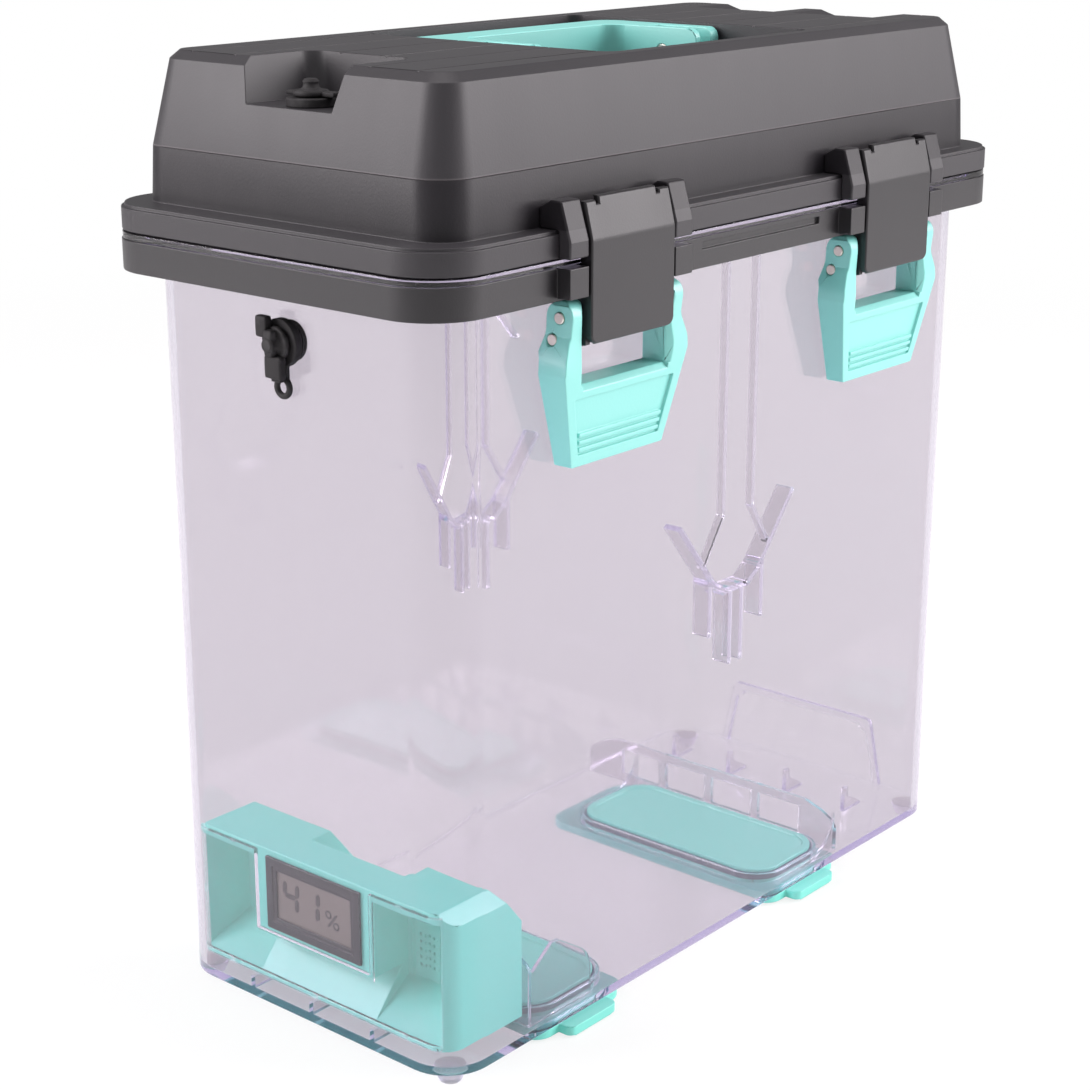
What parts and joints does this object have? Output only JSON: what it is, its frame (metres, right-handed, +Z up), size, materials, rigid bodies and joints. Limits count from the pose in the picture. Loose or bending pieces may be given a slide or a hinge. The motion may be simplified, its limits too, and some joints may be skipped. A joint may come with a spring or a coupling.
{
  "type": "filament dryer box",
  "caption": "Tall clear dry box with a latched dark lid, folding turquoise carry handle, spindle cradles, humidity meter and bottom desiccant trays",
  "frame": {"origin": "centre of the footprint, on the surface that the feet stand on", "axes": "+Z up, +X along the long side away from the humidity meter, latches face -Y, hinges at +Y"},
  "size_m": [0.341, 0.173, 0.349],
  "materials": {
    "clear_plastic": "clear moulded, faint violet at the edges",
    "window_plastic": "clear polished",
    "collar_plastic": "satin, dark warm grey",
    "lid_plastic": "satin, dark warm grey",
    "strap_plastic": "satin, dark warm grey",
    "turquoise_plastic": "satin, pale turquoise",
    "rubber": "matte black",
    "gasket_rubber": "matte",
    "seal_rubber": "matte blue grey",
    "meter_plastic": "satin",
    "display_glass": "dull liquid crystal",
    "board_laminate": "solder mask",
    "pin_steel": "turned"
  },
  "bodies": {
    "base": {"tub": "clear_plastic", "rim_collar": "collar_plastic", "feet": "clear_plastic", "near_vent_screen": "clear_plastic", "far_vent_screen": "clear_plastic", "end_port_grommet": "rubber"},
    "meter_unit": {"sensor_housing": "turquoise_plastic", "housing_window": "window_plastic", "meter_case": "meter_plastic", "lcd_panel": "display_glass", "meter_board": "board_laminate", "button_cells": "pin_steel", "battery_cover": "meter_plastic"},
    "lid": {"lid_shell": "lid_plastic", "lid_gasket": "gasket_rubber", "lid_port_grommet": "rubber", "catch_blocks": "lid_plastic", "hinge_pins": "pin_steel", "catch_pins": "pin_steel"},
    "handle": {"carry_handle": "turquoise_plastic", "handle_pins": "pin_steel"},
    "left_lever": {"left_latch_lever": "turquoise_plastic", "left_latch_pins": "pin_steel"},
    "left_strap": {"left_latch_strap": "strap_plastic"},
    "right_lever": {"right_latch_lever": "turquoise_plastic", "right_latch_pins": "pin_steel"},
    "right_strap": {"right_latch_strap": "strap_plastic"},
    "near_tray": {"near_tray": "turquoise_plastic", "near_tray_seal": "seal_rubber"},
    "far_tray": {"far_tray": "turquoise_plastic", "far_tray_seal": "seal_rubber"},
    "end_cap": {"end_port_cap": "rubber"},
    "lid_cap": {"lid_port_cap": "rubber"}
  },
  "joints": [
    {"name": "lid_hinge", "type": "hinge", "parent": "base", "child": "lid", "pos_m": [0, 0.0831, 0.28775], "axis": [-1, 0, 0], "range_deg": [0, 105]},
    {"name": "handle_pivot", "type": "hinge", "parent": "lid", "child": "handle", "pos_m": [0, 0, 0.339], "axis": [1, 0, 0], "range_deg": [0, 90]},
    {"name": "left_latch", "type": "hinge", "parent": "base", "child": "left_lever", "pos_m": [-0.0815, -0.079, 0.269], "axis": [-1, 0, 0], "range_deg": [0, 90]},
    {"name": "left_latch_link", "type": "hinge", "parent": "left_lever", "child": "left_strap", "pos_m": [-0.0815, -0.076, 0.2615], "axis": [-1, 0, 0], "range_deg": [-99, 0]},
    {"name": "right_latch", "type": "hinge", "parent": "base", "child": "right_lever", "pos_m": [0.0815, -0.079, 0.269], "axis": [-1, 0, 0], "range_deg": [0, 90]},
    {"name": "right_latch_link", "type": "hinge", "parent": "right_lever", "child": "right_strap", "pos_m": [0.0815, -0.076, 0.2615], "axis": [-1, 0, 0], "range_deg": [-99, 0]},
    {"name": "near_tray_slide", "type": "slide", "parent": "base", "child": "near_tray", "axis": [0, 0, -1], "range_m": [0, 0.012]},
    {"name": "far_tray_slide", "type": "slide", "parent": "base", "child": "far_tray", "axis": [0, 0, -1], "range_m": [0, 0.012]},
    {"name": "meter_unit_lift", "type": "slide", "parent": "base", "child": "meter_unit", "axis": [0, 0, 1], "range_m": [0, 0.15]},
    {"name": "end_cap_pull", "type": "slide", "parent": "base", "child": "end_cap", "axis": [-1, 0, 0], "range_m": [0, 0.01]},
    {"name": "lid_cap_pull", "type": "slide", "parent": "lid", "child": "lid_cap", "axis": [0, 0, 1], "range_m": [0, 0.01]}
  ],
  "couplings": [
    {"joint": "left_latch_link", "follows": "left_latch", "ratio": -1.1},
    {"joint": "right_latch_link", "follows": "right_latch", "ratio": -1.1}
  ]
}
